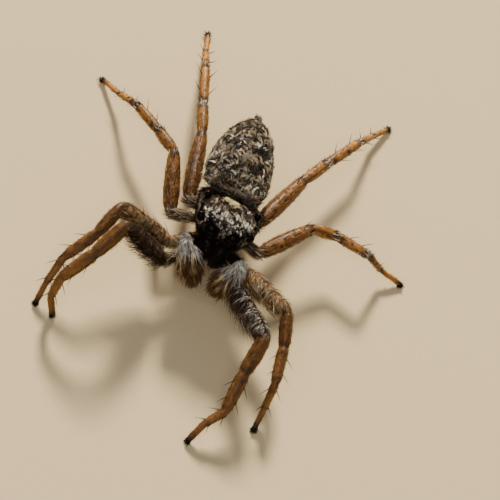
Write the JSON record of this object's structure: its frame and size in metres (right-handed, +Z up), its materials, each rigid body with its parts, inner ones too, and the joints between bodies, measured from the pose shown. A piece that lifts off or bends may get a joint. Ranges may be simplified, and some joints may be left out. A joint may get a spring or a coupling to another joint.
{
  "type": "jumping spider",
  "caption": "Life-size still jumping spider standing on eight hairy legs, with large front eyes, brush-like palps and a tapering abdomen.",
  "frame": {"origin": "on the floor under the middle of the spider's whole box", "axes": "+Z up from the floor, -Y the way its front body faces, +X to its own left"},
  "size_m": [0.0114, 0.015, 0.0033],
  "materials": {
    "carapace_hair": "dark cuticle under short white, grey and black hairs",
    "abdomen_hair": "dense mottled grey, cream and brown hairs",
    "palp_hair": "long grey-brown hairs with white tops",
    "leg_cuticle": "semi-gloss amber brown cuticle with dark rings and pale hairs",
    "underside_cuticle": "smooth brown cuticle",
    "jaw_cuticle": "smooth dark brown cuticle",
    "eye_lens": "glossy black lens"
  },
  "bodies": {
    "root": {"carapace": "carapace_hair", "sternum": "underside_cuticle", "pedicel": "underside_cuticle", "abdomen": "abdomen_hair", "spinnerets": "underside_cuticle", "left_chelicera": "jaw_cuticle", "right_chelicera": "jaw_cuticle", "left_palp": "palp_hair", "right_palp": "palp_hair", "left_front_middle_eye": "eye_lens", "right_front_middle_eye": "eye_lens", "left_front_side_eye": "eye_lens", "right_front_side_eye": "eye_lens", "left_small_middle_eye": "eye_lens", "right_small_middle_eye": "eye_lens", "left_rear_side_eye": "eye_lens", "right_rear_side_eye": "eye_lens", "left_leg_1_femur": "leg_cuticle", "left_leg_1_tibia": "leg_cuticle", "left_leg_1_foot": "leg_cuticle", "left_leg_2_femur": "leg_cuticle", "left_leg_2_tibia": "leg_cuticle", "left_leg_2_foot": "leg_cuticle", "left_leg_3_femur": "leg_cuticle", "left_leg_3_tibia": "leg_cuticle", "left_leg_3_foot": "leg_cuticle", "left_leg_4_femur": "leg_cuticle", "left_leg_4_tibia": "leg_cuticle", "left_leg_4_foot": "leg_cuticle", "right_leg_1_femur": "leg_cuticle", "right_leg_1_tibia": "leg_cuticle", "right_leg_1_foot": "leg_cuticle", "right_leg_2_femur": "leg_cuticle", "right_leg_2_tibia": "leg_cuticle", "right_leg_2_foot": "leg_cuticle", "right_leg_3_femur": "leg_cuticle", "right_leg_3_tibia": "leg_cuticle", "right_leg_3_foot": "leg_cuticle", "right_leg_4_femur": "leg_cuticle", "right_leg_4_tibia": "leg_cuticle", "right_leg_4_foot": "leg_cuticle"}
  },
  "joints": []
}
